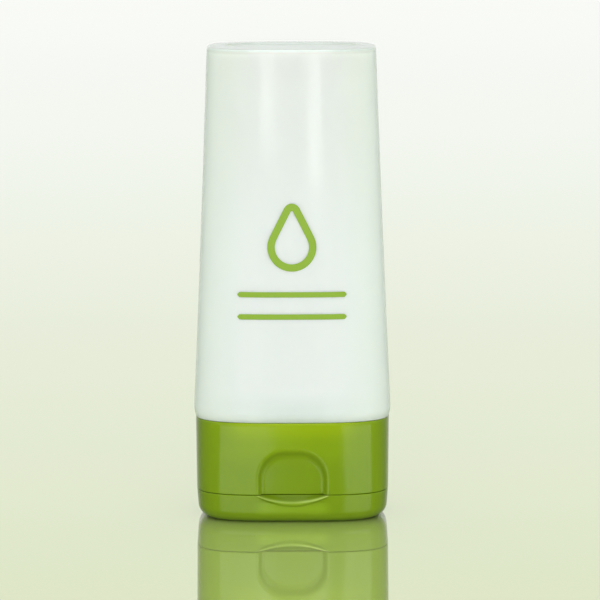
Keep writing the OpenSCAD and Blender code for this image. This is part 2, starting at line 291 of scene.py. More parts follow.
def skin(name, rows, wrap_rows=False, sharp_angle=40):
    """One closed skin through all rows; without wrap_rows a point closes each end."""
    count = rows.shape[1]
    points = rows.reshape(-1, 3)
    faces = grid_faces(len(rows), count, wrap_rows)
    if not wrap_rows:
        poles = np.stack([rows[0].mean(0), rows[-1].mean(0)])
        here, after = np.arange(count), (np.arange(count) + 1) % count
        first, last = len(points), len(points) + 1
        top = (len(rows) - 1) * count
        faces += np.stack([after, here, 0 * here + first], -1).tolist()
        faces += np.stack([top + here, top + after, 0 * here + last], -1).tolist()
        points = np.concatenate([points, poles])
    return mesh_object(name, points, faces, sharp_angle)


# %% [markdown]
# The bottle is blown from a warm tube of polyethylene, so its wall is even and its edges are
# round. One skin runs from the middle of the end panel's inside, down the inner wall, out through
# the neck, over the shoulder, up the outer wall and back to the middle of the end panel. A single
# skin with two sides gives the wall its real thickness, which the milky finish needs.

# %% Wall of the bottle


def body_sizes(z):
    """Half width and half depth at height z. Both go in a straight line from foot to end, less
    a small waist that is deepest halfway: waist * 4 * share * (1 - share)."""
    share = (z - FOOT_Z) / (TOTAL_H - FOOT_Z)
    waist = BODY_WAIST * 4 * share * (1 - share)
    half_x = (BODY_W + (END_W - BODY_W) * share) / 2 - waist
    half_y = (BODY_D + (END_D - BODY_D) * share) / 2 - waist
    return half_x, half_y


def body_rows(z, inset):
    """Oval rows of the wall at some heights, each moved in by its inset."""
    z, inset = np.broadcast_arrays(np.asarray(z, float), np.asarray(inset, float))
    half_x, half_y = body_sizes(z)
    return oval(half_x - inset, half_y - inset, BODY_POWER, z, BODY_TURN)


def body_skin(offset):
    """Rows of the body from its foot to the middle of its end, at an offset inside its surface:
    the foot's curve is square in height, the edge is a quarter circle, and the sunk panel's
    slope follows half a cosine wave."""
    up = np.linspace(offset, FOOT_H, 9)
    foot = body_rows(FOOT_Z + up, offset + FOOT_IN * (1 - up / FOOT_H) ** 2)
    wall = body_rows(np.linspace(FOOT_Z + FOOT_H, TOTAL_H - END_R, 40)[1:-1], offset)
    radius = max(END_R - offset, 0.3)
    turn = np.linspace(0, np.pi / 2, 8)
    edge_z = TOTAL_H - offset - radius + radius * np.sin(turn)
    edge = body_rows(edge_z, offset + radius - radius * np.cos(turn))
    slope = np.linspace(0, 1, 9)
    sink = END_SINK * (1 - np.cos(np.pi * slope)) / 2
    panel = body_rows(TOTAL_H - offset - sink, END_R + END_LAND + SINK_SLOPE * slope)
    pole = np.array([[0, 0, TOTAL_H - offset - END_SINK]]) + 0 * panel[-1]
    return np.concatenate([foot, wall, edge, panel, between(panel[-1], pole, 6)])


print("half sizes at the foot", np.round(body_sizes(FOOT_Z), 2), "at the end",
      np.round(body_sizes(TOTAL_H), 2))

# %% Neck, and the bottle as one skin


def neck_profile():
    """Outside of the neck from its mouth to the shoulder, with its bead and the root's fillet."""
    turn = np.linspace(0, np.pi / 2, 7)
    fillet = np.stack([NECK_R + ROOT_R * (1 - np.cos(turn)), FOOT_Z - ROOT_R * (1 - np.sin(turn))], -1)
    bead_r = NECK_R + BEAD_OUT
    outside = soften([(NECK_BORE_R, BEAD_Z), (NECK_BORE_R, NECK_END_Z), (NECK_R, NECK_END_Z),
                      (NECK_R, BEAD_Z - BEAD_OUT), (bead_r, BEAD_Z + LEAD),
                      (bead_r, BEAD_Z + BEAD_H), (NECK_R, BEAD_Z + BEAD_H),
                      (NECK_R, FOOT_Z - ROOT_R)], radius=0.3)
    return np.concatenate([outside[1:-1], fillet])


def bottle_rows():
    """Inner wall downwards, bore, neck, and outer wall upwards, joined at the shoulder."""
    outer, inner = body_skin(0), body_skin(BODY_WALL)[::-1]
    bore = lathe([(NECK_BORE_R, FOOT_Z + BODY_WALL), (NECK_BORE_R, BEAD_Z)], BODY_TURN)
    neck = lathe(neck_profile(), BODY_TURN)
    inner_shoulder, shoulder = between(inner[-1], bore[0], 3), between(neck[-1], outer[0], 3)
    return np.concatenate([inner, inner_shoulder, bore, neck, shoulder, outer])


bottle = skin("bottle_shell", bottle_rows(), sharp_angle=50)

# %% [markdown]
# Two lugs at the root of the neck drop into slots of the cap's collar, which lines the oval cap
# up with the oval bottle. They are small blocks on the neck, part of the same moulding, so a box
# with a Bevel modifier is enough for them.

# %% Lugs on the neck
LUG_SUNK = 0.4                # how far a lug is sunk into neck and shoulder
LUG_EDGE_R = 0.2
LUG_LOW = COLLAR_TOP_Z - SLOT_H + 2 * FIT_GAP


def block(name, low, high):
    """A closed box between two corners, in millimetres."""
    low, high = np.array(low, float), np.array(high, float)
    corner = np.array([[x, y, z] for z in (0, 1) for y in (0, 1) for x in (0, 1)], float)
    faces = [(0, 2, 3, 1), (4, 5, 7, 6), (0, 1, 5, 4), (2, 6, 7, 3), (0, 4, 6, 2), (1, 3, 7, 5)]
    piece = mesh_object(name, low + corner * (high - low), faces)
    bevel = piece.modifiers.new("edge", "BEVEL")
    bevel.width, bevel.segments = LUG_EDGE_R * MM, 3
    return piece


lugs = []
for side, sign in (("left", -1), ("right", 1)):
    near, far = sorted((sign * (NECK_R - LUG_SUNK), sign * COLLAR_OUT_R))
    lugs.append(block(f"neck_lug_{side}", (near, -LUG_W / 2, LUG_LOW),
                      (far, LUG_W / 2, FOOT_Z + LUG_SUNK)))

# %% [markdown]
# The thumb recess is an arch pressed into the cap's front, which runs over the seam into the lid
# and ends in a curve like a smile. It could be cut with a boolean, but that leaves a hard edge and
# stray faces. Here two outlines give it: one on the cap's face, one round its floor. The slope
# between them follows the share of the way from the first outline to the second.

# %% Outline of the thumb recess


def smooth_max(a, b, width):
    """The larger of two values, with the corner where they cross rounded over the width."""
    near = np.clip(1 - np.abs(a - b) / width, 0, 1)
    return np.maximum(a, b) + near ** 2 * width / 4


def parabola_below(x, half, drop):
    """Height of the smile's curve: the seam, less drop in the middle, square in x."""
    return SEAM_Z - drop * (1 - (x / half) ** 2)


def outline_distance(x, z, half, top, radius, drop, low):
    """How far a point lies outside an arch with rounded shoulders, closed by a parabola below:
    the rounded box formula for the arch, and the height under the parabola for the smile."""
    side, rise = np.abs(x) - (half - radius), z - (SEAM_Z + top - radius)
    corner = np.hypot(np.maximum(side, 0), np.maximum(rise, 0))
    arch = corner + np.minimum(np.maximum(side, rise), 0) - radius
    smile = SEAM_Z - low - drop * (1 - (x / half) ** 2)
    steep = 2 * drop * x / half ** 2
    return np.maximum(arch, (smile - z) / np.sqrt(1 + steep ** 2))


print("a point 1 mm above the arch is", outline_distance(
    0, SEAM_Z + THUMB_H + 1, THUMB_HALF, THUMB_H, THUMB_R, SCOOP_DROP, 0).round(2), "mm outside it")

# %% Depth of the recess, and the lip under it
FLOOR_ROUND = 0.5             # share of the depth over which the slope rounds into the floor
LIP_FADE = 0.5                # mm below the seam over which the lip fades out


def scoop_depth(x, z, grow):
    """Depth of the recess behind the cap's face: zero on the outer outline, full on the inner
    one, straight between them, and rounded where the slope meets the floor."""
    half, top, radius = THUMB_HALF + grow, THUMB_H + grow, THUMB_R + grow
    face = outline_distance(x, z, half, top, radius, SCOOP_DROP, grow)
    floor = outline_distance(x, z, half - THUMB_SLOPE, top - THUMB_TOP_SLOPE,
                             radius - THUMB_SLOPE, SCOOP_DROP * FLOOR_DROP, grow)
    share = face / np.minimum(face - floor, -1e-6)
    return (THUMB_IN + grow) * -smooth_max(-share, -1 + 0 * share, FLOOR_ROUND)


def lip_height(x, z):
    """How far the lid's lip stands out: it climbs from the face to a narrow crest under the
    scoop, and fades out just below the seam. Both follow share * share * (3 - 2 * share)."""
    low = parabola_below(x, THUMB_HALF + 2 * LIP_OUT, CREST_DROP + LIP_H)
    high = parabola_below(x, THUMB_HALF + LIP_OUT, CREST_DROP + LIP_H / 3)
    share = np.clip((z - low) / np.maximum(high - low, 0.05), 0, 1)
    fade = np.clip((SEAM_Z - z) / LIP_FADE, 0, 1)
    return LIP_OUT * share * share * (3 - 2 * share) * fade * fade * (3 - 2 * fade)


print("recess", scoop_depth(0, SEAM_Z + THUMB_H / 2, 0).round(2), "mm deep, lip",
      lip_height(0, SEAM_Z - CREST_DROP).round(2), "mm high")

# %% [markdown]
# Rim and lid share one rule for their outline, as two halves of one moulding tool do: the half
# sizes grow in a straight line from seam to rim, and shrink by the lid's draft towards its edge.
# The recess is pressed into finished rows by moving their front back, so both halves fit.

# %% Section of the cap
ASIDE = 4                     # mm beside the recess in which rows may still move


def cap_sizes(z):
    """Half width, half depth and squareness of the cap's outside at height z."""
    up = (z - SEAM_Z) / (CAP_H - SEAM_Z)
    down = (SEAM_Z - z) / (SEAM_Z - LID_EDGE_R)
    above = z > SEAM_Z
    half_x = np.where(above, SEAM_A + (RIM_A - SEAM_A) * up, SEAM_A - LID_DRAFT * down)
    half_y = np.where(above, SEAM_B + (RIM_B - SEAM_B) * up, SEAM_B - LID_DRAFT * down)
    power = np.where(above, SEAM_POWER + (BODY_POWER - SEAM_POWER) * up, SEAM_POWER)
    return half_x, half_y, power


def cap_rows(z, inset):
    """Oval rows of the cap at some heights, each moved in by its inset."""
    z, inset = np.broadcast_arrays(np.atleast_1d(np.asarray(z, float)), np.asarray(inset, float))
    half_x, half_y, power = cap_sizes(z)
    return oval(half_x - inset, half_y - inset, power, z, CAP_TURN)


def front_depth(x, half_x, half_y, power):
    """Depth of an oval's front at x: y = -half_y * (1 - |x / half_x|^power)^(1 / power)."""
    share = np.minimum(np.abs(x) / half_x, 1) ** power
    return -half_y * np.maximum(1 - share, 0) ** (1 / power)


def press_recess(rows, grow=0.0, inset=0.0, lip=False, round_over=0.5):
    """Moves the front of some rows back to the recess where that lies deeper than they do.
    With grow it is the back of the wall behind the recess, one wall's thickness deeper."""
    x, y, z = rows[..., 0], rows[..., 1], rows[..., 2]
    front = front_depth(x, *cap_sizes(z))
    face = y - lip_height(x, z) if lip else y
    deeper = smooth_max(face, front + scoop_depth(x, z, grow) + inset, round_over)
    moved = rows.copy()
    moved[..., 1] = np.where((y < 0) & (np.abs(x) < THUMB_HALF + grow + ASIDE), deeper, y)
    return moved


for label, z in (("rim", CAP_H), ("seam", SEAM_Z)):
    print("half sizes and squareness at the", label, [round(float(v), 2) for v in cap_sizes(z)])

# %% [markdown]
# The cap's base is one moulding: skirt, deck, collar for the neck, plug seal and nozzle. A single
# skin runs up the outer skirt, down inside, over collar and plug, through the hole and back along
# the deck's outside. Because of that hole the rows close into a ring, and there is no pole.

# %% Skirt and deck of the base
RECESS_STEP = 0.24            # rows this close at the recess,
RECESS_ABOVE = 1.2            # and up to this far above it


def skirt_rows():
    """The rounded edge at the seam, the skirt with its recess, and the rounded rim."""
    turn = np.linspace(0, np.pi / 2, 4)
    up, back = np.sin(turn), 1 - np.cos(turn)
    seam_in = SEAM_R * back[::-1]
    seam = press_recess(cap_rows(BASE_Z + SEAM_R * (1 - up[::-1]), seam_in), 0, seam_in[:, None])
    recess_z = np.arange(BASE_Z + SEAM_R, SEAM_Z + THUMB_H + RECESS_ABOVE, RECESS_STEP)
    skirt_z = np.append(recess_z, np.linspace(recess_z[-1], CAP_H - SEAM_R, 8)[1:])
    rim = cap_rows(CAP_H - SEAM_R + SEAM_R * up, SEAM_R * back)
    return np.concatenate([seam, press_recess(cap_rows(skirt_z, 0))[1:], rim[1:]])


def deck_rows():
    """The step round the deck that the lid's wall fits over, up to the level of the seam."""
    aside = CAP_WALL + LID_GAP
    turn = np.linspace(0, np.pi / 2, 4)[::-1]
    z = np.append(DECK_OUT_Z + DECK_R * (1 - np.sin(turn)), np.linspace(DECK_OUT_Z + 0.5, BASE_Z, 3))
    inset = np.append(aside + DECK_R * (1 - np.cos(turn)), [aside] * 3)
    half_x, half_y, power = cap_sizes(np.array([SEAM_Z]))
    step = oval(half_x - inset, half_y - inset, power, z, CAP_TURN)
    return press_recess(step, aside, (inset - aside)[:, None])


print("rows:", len(skirt_rows()), "on the skirt,", len(deck_rows()), "on the deck's step")

# %% Collar, plug, nozzle, and the base as one skin


def collar_profile():
    """(radius, height) points: over the collar, down past the snap ring, over the plug seal,
    through the hole, and round the crowned nozzle to the deck's outside."""
    snap_top, plug_top = SNAP_Z + BEAD_H, DECK_IN_Z + PLUG_H
    plug_in_r, crown_r = PLUG_R - CAP_WALL, ORIFICE_R + NOZZLE_WALL
    return [(COLLAR_OUT_R + 0.6, DECK_IN_Z), (COLLAR_OUT_R, DECK_IN_Z),
            (COLLAR_OUT_R, COLLAR_TOP_Z), (COLLAR_IN_R, COLLAR_TOP_Z),
            (COLLAR_IN_R, snap_top + LEAD), (SNAP_R, snap_top - LEAD),
            (SNAP_R, SNAP_Z), (COLLAR_IN_R, SNAP_Z),
            (COLLAR_IN_R, DECK_IN_Z), (PLUG_R, DECK_IN_Z),
            (PLUG_R, plug_top - 2 * LEAD), (PLUG_R - LEAD, plug_top),
            (plug_in_r, plug_top), (plug_in_r, DECK_IN_Z),
            (ORIFICE_R, DECK_IN_Z), (ORIFICE_R, NOZZLE_Z + LEAD),
            (ORIFICE_R + LEAD, NOZZLE_Z), (crown_r, NOZZLE_Z),
            (crown_r + LEAD, NOZZLE_Z + LEAD / 2), (NOZZLE_R - LEAD, DECK_OUT_Z - LEAD / 2),
            (NOZZLE_R, DECK_OUT_Z), (NOZZLE_R + 0.8, DECK_OUT_Z)]


def base_rows():
    """Skirt, inside with the wall behind the recess, collar to nozzle, and deck."""
    recess_top = SEAM_Z + THUMB_H
    inner_z = np.append(np.linspace(CAP_H, recess_top + 3, 4),
                        np.linspace(recess_top + 2, DECK_IN_Z, 28))
    inside = press_recess(cap_rows(inner_z, CAP_WALL), CAP_WALL)
    collar, deck = lathe(soften(collar_profile(), radius=0.25), CAP_TURN), deck_rows()
    return np.concatenate([skirt_rows(), inside, between(inside[-1], collar[0], 3), collar,
                           between(collar[-1], deck[0], 5), deck])


base = skin("cap_base_shell", base_rows(), wrap_rows=True, sharp_angle=45)

# %% [markdown]
# The lid is a shallow tray with a rolled edge. Its skin starts under the middle of the flat face
# that the tube stands on, goes round the edge and up to the seam, down inside, and ends on top of
# the pin that closes the hole. The lip under the thumb recess is added while the side is made, and
# its crest and the slope above it are marked on the points, so that a painted highlight on the crest
# and painted shade on the slope can follow them.

# %% Rows of the lid
SIDE_STEP = 0.16              # rows this close on the side, for the lip


def edge_rows(offset, count):
    """Rolled edge of the lid from its flat face to where the side begins: a quarter circle."""
    radius = LID_EDGE_R - offset
    turn = np.linspace(0, np.pi / 2, count)
    inset = offset + radius * (1 - np.sin(turn)) - LID_DRAFT * (1 - turn / (np.pi / 2))
    return cap_rows(offset + radius * (1 - np.cos(turn)), inset)


def pin_profile():
    """(radius, height) points of the pin, from the tray's inside to the middle of its tip."""
    radius, tip_z = ORIFICE_R - PIN_GAP, NOZZLE_Z + PIN_IN
    return [(radius + 3 * LEAD, CAP_WALL), (radius + 2 * LEAD, CAP_WALL),
            (radius, CAP_WALL + 2 * LEAD), (radius, tip_z - LEAD),
            (radius - LEAD, tip_z), (0.3, tip_z)]


def lid_rows():
    """Flat face, rolled edge, side with its lip, edge at the seam, inside, and pin."""
    arc = edge_rows(0, 12)
    flat = between(np.zeros_like(arc[0]), arc[0], 8)
    side_z = np.arange(LID_EDGE_R, LID_TOP_Z - SEAM_R, SIDE_STEP)[1:]
    side = press_recess(cap_rows(side_z, 0), lip=True, round_over=0.3)
    turn = np.linspace(0, np.pi / 2, 4)
    round_in = SEAM_R * (1 - np.cos(turn))
    top = cap_rows(LID_TOP_Z - SEAM_R + SEAM_R * np.sin(turn), round_in)
    top = press_recess(top, 0, round_in[:, None], lip=True, round_over=0.3)
    inner_z = np.append([LID_TOP_Z, LID_TOP_Z - 0.15], np.linspace(LID_TOP_Z - 0.4, LID_EDGE_R, 14))
    inside = press_recess(cap_rows(inner_z, CAP_WALL), CAP_WALL, round_over=0.3)
    hollow = edge_rows(CAP_WALL, 8)[::-1]
    pin = lathe(soften(pin_profile(), radius=0.3), CAP_TURN)
    return np.concatenate([flat, arc, side, top, inside, hollow[1:],
                           between(hollow[-1], pin[0], 5), pin])


lid = skin("cap_lid_shell", lid_rows(), sharp_angle=45)

# %% Marks on the lip
CREST_WIDE, SLOPE_WIDE = 0.3, 0.4
FRONT_Y, END_FADE = -12, 0.6  # only points in front of this, and they fade out at the lip's ends


def mark_smile(piece):
    """Two values at each point of the lid's front. Crest is a bell across the parabola of the
    lip's crest: exp(-(height above it / CREST_WIDE)^2). Slope grows from 0 on that parabola to
    1 above it, where the lid falls back to the recess: height above it / SLOPE_WIDE."""
    points = np.empty(len(piece.data.vertices) * 3)
    piece.data.vertices.foreach_get("co", points)
    x, y, z = points.reshape(-1, 3).T / MM
    half = THUMB_HALF + LIP_OUT
    above = z - parabola_below(x, half, CREST_DROP)
    on_front = (y < FRONT_Y) * np.clip((half - np.abs(x)) / END_FADE, 0, 1)
    crest, slope = np.exp(-(above / CREST_WIDE) ** 2), np.clip(above / SLOPE_WIDE, 0, 1)
    # crest says where the lid's colour gets a painted highlight, slope where it gets painted shade.
    for name, value in (("crest", crest * on_front), ("slope", slope * on_front)):
        attribute = piece.data.attributes.new(name, "FLOAT", "POINT")
        attribute.data.foreach_set("value", value.astype(np.float32))
        print("points on the", name, int((value > 0.5).sum()))


mark_smile(lid)

# %% [markdown]
# The film hinge is a strip of the same plastic, a quarter of a millimetre thick, in three bands.
# Closed, it is folded back on itself. It joins both halves, and it is a closed section carried
# along the hinge with enough rows round the fold for a smooth curve.

# %% Film hinge
BAND_COLUMNS = 7


def film_loop():
    """Cross-section of one folded band, as (y, z) points: along the base, round the fold in a
    half circle, and back along the lid, once on its inside and once on its outside."""
    turn = np.linspace(np.pi / 2, -np.pi / 2, 17)
    root = AXIS_Y - HINGE_OUT - CAP_WALL / 2
    straight = np.linspace(root, AXIS_Y, 5)[:-1]
    loop = []
    for radius, order in ((SEAM_GAP / 2, 1), (SEAM_GAP / 2 + FILM_T, -1)):
        y = np.concatenate([straight, AXIS_Y + radius * np.cos(turn), straight[::-1]])
        z = np.concatenate([0 * straight + radius, radius * np.sin(turn), 0 * straight - radius])
        loop.append(np.stack([y, z + SEAM_Z], -1)[::order])
    return np.concatenate(loop)


def film_bands():
    """Three bands side by side, each the section carried along X and closed at both ends by
    quads between its inside and its outside."""
    section = film_loop()
    count = len(section)
    width = (HINGE_W - 2 * FILM_SLOT) / 3
    k = np.arange(count // 2 - 1)
    end_quads = np.stack([k, k + 1, count - 2 - k, count - 1 - k], -1)
    points, faces = [], []
    for band in (-1, 0, 1):
        first = len(points) * BAND_COLUMNS * count
        x = band * (width + FILM_SLOT) + np.linspace(-width / 2, width / 2, BAND_COLUMNS)
        rows = np.empty((BAND_COLUMNS, count, 3))
        rows[..., 0], rows[..., 1:] = x[:, None], section
        points.append(rows.reshape(-1, 3))
        faces += grid_faces(BAND_COLUMNS, count, False, first)
        faces += (first + end_quads[:, ::-1]).tolist()
        faces += (first + (BAND_COLUMNS - 1) * count + end_quads).tolist()
    return mesh_object("hinge_film_bands", np.concatenate(points), faces, 60)


film = film_bands()

# %% [markdown]
# Silk-screen ink lies on the bottle's front in the cap's green. Here it is a plain drop over two
# lines to write the contents on. An image on the wall would need a UV map and blur up close, so
# each stroke is a thin band of its own that follows the curved wall.

# %% A stroke of ink
INK_UP, INK_IN = 0.03, 0.12   # face above the wall, back inside it
STROKE_COLUMNS = 6


def stroke(name, path, half_width, closed):
    """A stroke of ink: points of a path in the front view, moved to both sides of it by the half
    width, with a face just above the bottle's wall and a back just inside it."""
    ahead = np.roll(path, -1, 0) - np.roll(path, 1, 0) if closed else np.gradient(path, axis=0)
    ahead /= np.linalg.norm(ahead, axis=1)[:, None]
    aside = np.stack([-ahead[:, 1], ahead[:, 0]], -1)
    aside *= np.broadcast_to(half_width, len(path))[:, None]
    across = np.linspace(1, -1, STROKE_COLUMNS)
    flat = path[:, None] + aside[:, None] * np.append(across, across[::-1])[None, :, None]
    x, z = flat[..., 0], flat[..., 1]
    level = np.repeat([-INK_UP, INK_IN], STROKE_COLUMNS)
    rows = np.stack([x, front_depth(x, *body_sizes(z), BODY_POWER) + level, z], -1)
    return skin(name, rows, wrap_rows=closed, sharp_angle=60)


# %% Drop and lines
DROP_LOW, DROP_HIGH, DROP_R, DROP_TIP_R, DROP_HALF_WIDTH = 67.6, 83.4, 5.4, 1.3, 0.95
LINE_LEVELS = (("upper", 60.6), ("lower", 54.8))
LINE_HALF, LINE_HALF_WIDTH = 14.2, 0.7
DROP_POINTS, LINE_POINTS = 200, 60


def along_path(path):
    """Distance of each point from the first, measured along the path."""
    return np.append(0, np.cumsum(np.linalg.norm(np.diff(path, axis=0), axis=1)))


def arc(radius, middle_z, start, end, count):
    """Points of a circle's arc in the front view, anticlockwise."""
    turn = np.linspace(start, end, count)
    return np.stack([radius * np.cos(turn), middle_z + radius * np.sin(turn)], -1)


def drop_path():
    """Outline of a drop: a large circle below, a small one as its tip, and the two tangents
    that join them. The tangents leave at an angle with sine (radius - tip radius) / distance."""
    low, high = DROP_LOW + DROP_R, DROP_HIGH - DROP_TIP_R
    leave = math.asin((DROP_R - DROP_TIP_R) / (high - low))
    outline = np.concatenate([arc(DROP_R, low, np.pi - leave, 2 * np.pi + leave, 120),
                              arc(DROP_TIP_R, high, leave, np.pi - leave, 40)])
    outline = np.concatenate([outline, outline[:1]])
    length = along_path(outline)
    pick = np.linspace(0, length[-1], DROP_POINTS, endpoint=False)
    return np.stack([np.interp(pick, length, outline[:, k]) for k in (0, 1)], -1)


def line_path(z):
    x = np.linspace(-LINE_HALF, LINE_HALF, LINE_POINTS)
    return np.stack([x, np.full(LINE_POINTS, z)], -1)


def rounded_ends(path, width):
    """Half width of a stroke with round ends: width * sqrt(1 - (1 - distance to end / width)^2)."""
    length = along_path(path)
    to_end = np.minimum(length, length[-1] - length)
    return width * np.sqrt(np.clip(1 - (1 - np.minimum(to_end / width, 1)) ** 2, 0.02, 1))


ink = [stroke("print_drop", drop_path(), DROP_HALF_WIDTH, True)]
for label, z in LINE_LEVELS:
    path = line_path(z)
    ink.append(stroke(f"print_line_{label}", path, rounded_ends(path, LINE_HALF_WIDTH), False))

# %% [markdown]
# Moulded plastic is never one flat colour: the mould leaves a faint grain, and the gloss varies a
# little. Each material starts from two close tints with a slow noise, and lays lighter or darker
# tints over it by place, which are painted light and painted shade. Writing out every node and link
# takes many lines, so a few helpers make a node and join its inputs at once.

# %% Helpers for nodes


def joined(tree, node, inputs):
    """Sets each input of a node to a plain value, or joins it to the output of another node."""
    for name, value in inputs.items():
        if isinstance(value, bpy.types.NodeSocket):
            tree.links.new(value, node.inputs[name])
        else:
            node.inputs[name].default_value = value
    return node


def made(tree, kind, inputs=None, **settings):
    """A new node of a kind, with its settings and its inputs."""
    node = tree.nodes.new("ShaderNode" + kind)
    for name, value in settings.items():
        setattr(node, name, value)
    return joined(tree, node, inputs or {})


def computed(tree, operation, *values):
    """The result of one arithmetic step on numbers or sockets."""
    return made(tree, "Math", dict(enumerate(values)), operation=operation).outputs[0]


def axes(tree, vector):
    """X, Y and Z of a vector, each as a socket."""
    return made(tree, "SeparateXYZ", {0: vector}).outputs[:]


def new_material(name):
    """A material, its node tree, and Object coordinates for its patterns."""
    material = bpy.data.materials.new(name)
    material.use_nodes = True
    tree = material.node_tree
    return material, tree, made(tree, "TexCoord").outputs["Object"]


# %% Helpers for tints and patterns


def noise(tree, place, size_mm, detail=3.0, stretch=(1, 1, 1)):
    """Noise whose grains are about size_mm across; stretch draws them out along an axis."""
    scale = [s / (size_mm * MM) for s in stretch]
    mapping = made(tree, "Mapping", {"Vector": place, "Scale": scale})
    inputs = {"Vector": mapping.outputs["Vector"], "Scale": 1.0, "Detail": detail}
    return made(tree, "TexNoise", inputs).outputs["Fac"]


def blended(tree, factor, color, other):
    """A colour, or a socket with one, that turns into another colour as the factor goes to 1."""
    color = color if isinstance(color, bpy.types.NodeSocket) else (*color, 1)
    inputs = {"Factor": factor, "A": color, "B": (*other, 1)}
    return made(tree, "Mix", inputs, data_type="RGBA").outputs["Result"]


def layered(tree, color, tints, where):
    """One tint after another laid over a colour, each by the factor that says where it lies."""
    for name, tint in tints.items():
        color = blended(tree, where[name], color, tint)
    return color


def in_range(tree, factor, low, high):
    """A number that goes from low to high as a noise goes from 0.3 to 0.7, its usual range."""
    inputs = {"Value": factor, "From Min": 0.3, "From Max": 0.7, "To Min": low, "To Max": high}
    return made(tree, "MapRange", inputs).outputs["Result"]


def ramp(tree, factor, stops, interpolation="LINEAR"):
    """A colour for each position along a factor, from (position, colour) stops."""
    node = made(tree, "ValToRGB", {"Fac": factor})
    node.color_ramp.interpolation = interpolation
    elements = node.color_ramp.elements
    for element, (position, color) in zip(elements, (stops[0], stops[-1])):
        element.position, element.color = position, (*color, 1)
    for position, color in stops[1:-1]:
        elements.new(position).color = (*color, 1)
    return node.outputs["Color"]


def eased(tree, place, stops):
    """A number given at some places in millimetres along one coordinate, eased between them."""
    low, high = stops[0][0], stops[-1][0]
    inputs = {"Value": place, "From Min": low * MM, "From Max": high * MM}
    share = made(tree, "MapRange", inputs).outputs["Result"]
    return ramp(tree, share, [((z - low) / (high - low), (v, v, v)) for z, v in stops], "EASE")


# %% Helpers for view, edge and bump


def painted_edge_shade(tree, power):
    """How far a wall is seen edge-on, 0 to 1: the share of painted shade at a plastic's outline."""
    facing = made(tree, "LayerWeight", {"Blend": 0.5}).outputs["Facing"]
    return computed(tree, "POWER", facing, power)


def on_rounding(tree, place):
    """Where a surface leans halfway between upright and level, by the Z of its normal: the
    cube of 1 - 4 * (z - 0.5)^2, which is 0 on both faces and 1 in the middle of an edge."""
    lean = computed(tree, "SUBTRACT", axes(tree, place.node.outputs["Normal"])[2], 0.5)
    bell = computed(tree, "MULTIPLY", computed(tree, "MULTIPLY", lean, lean), -4.0)
    return computed(tree, "POWER", computed(tree, "ADD", bell, 1.0), 3.0)


def orange_peel(tree, place, depth_mm):
    """A normal that a low, wide bump disturbs, as on any moulded face."""
    inputs = {"Height": noise(tree, place, 2.5, 1.0), "Strength": 1.0, "Distance": depth_mm * MM}
    return made(tree, "Bump", inputs).outputs["Normal"]


# %% [markdown]
# Natural polyethylene is milky: light enters, scatters and comes out again some way off, and a
# little goes right through. Subsurface scattering in the one millimetre wall gives both. The
# blowing draws the plastic lengthwise, so its faint unevenness runs up and down. Painted shade
# darkens the colour over that: at the foot, where the cap's shoulder stands behind the wall,
# towards the end and on its rounded edge and corners, along the side walls, and wherever the wall
# is seen edge-on.

# %% Milky plastic
MILK_TINTS = (0.84, 0.94, 0.925), (0.88, 0.97, 0.965)
# Painted shade: each colour below darkens the milky tint where its factor says.
MILK_PAINTED_SHADES = {"foot": (0.65, 0.74, 0.69), "upper": (0.74, 0.72, 0.70), "side": (0.74, 0.83, 0.66),
               "turned": (0.72, 0.80, 0.77), "painted_edge_shade": (0.34, 0.40, 0.34),
               "corner": (0.42, 0.46, 0.42), "painted_end_shade": (0.42, 0.46, 0.42)}
MILK_VALUES = {"Subsurface Weight": 0.85, "Subsurface Radius": (1.0, 1.0, 0.9),
               "Subsurface Scale": 2.5 * MM, "IOR": 1.5, "Specular IOR Level": 0.22}


def milky_plastic():
    """The base tint from a noise drawn out along Z, then each painted shade where it lies."""
    material, tree, place = new_material("milky_plastic")
    x, _, z = axes(tree, place)
    aside = computed(tree, "ABSOLUTE", x)
    top = TOTAL_H
    # Where the painted shade lies: at the foot, towards the end, along the sides, at the end's corners
    # and rounded edge, and at the outline where the wall is seen edge-on.
    where = {
        "foot": computed(tree, "MULTIPLY",
                         eased(tree, aside, [(0, 1.0), (6, 0.9), (11, 0.6), (26, 0.3)]),
                         eased(tree, z, [(FOOT_Z, 1.0), (FOOT_Z + 3, 0.6), (FOOT_Z + 9, 0.0)])),
        "upper": eased(tree, z, [(60, 0.0), (110, 0.42), (top - 1.2, 0.58), (top - 0.5, 0.9),
                                 (top - 0.35, 0.0)]),
        "side": eased(tree, aside, [(9, 0.0), (12, 0.08), (18, 0.3), (26, 0.45)]),
        "turned": painted_edge_shade(tree, 0.7),
        "painted_edge_shade": painted_edge_shade(tree, 4.0),
        "corner": computed(tree, "MULTIPLY",
                           eased(tree, aside, [(8, 0.0), (13, 0.4), (21, 0.6)]),
                           eased(tree, z, [(top - 1.4, 0.0), (top - 0.7, 0.6), (top, 1.0)])),
        "painted_end_shade": computed(tree, "MULTIPLY", on_rounding(tree, place), 0.45)}
    flow = noise(tree, place, 9.0, 2.0, (1, 1, 0.16))
    color = layered(tree, blended(tree, flow, *MILK_TINTS), MILK_PAINTED_SHADES, where)
    joined(tree, tree.nodes["Principled BSDF"], {
        "Base Color": color, "Roughness": in_range(tree, noise(tree, place, 1.6), 0.09, 0.13),
        "Normal": orange_peel(tree, place, 0.006), **MILK_VALUES})
    print(material.name, len(tree.nodes), "nodes")
    return material


milky = milky_plastic()
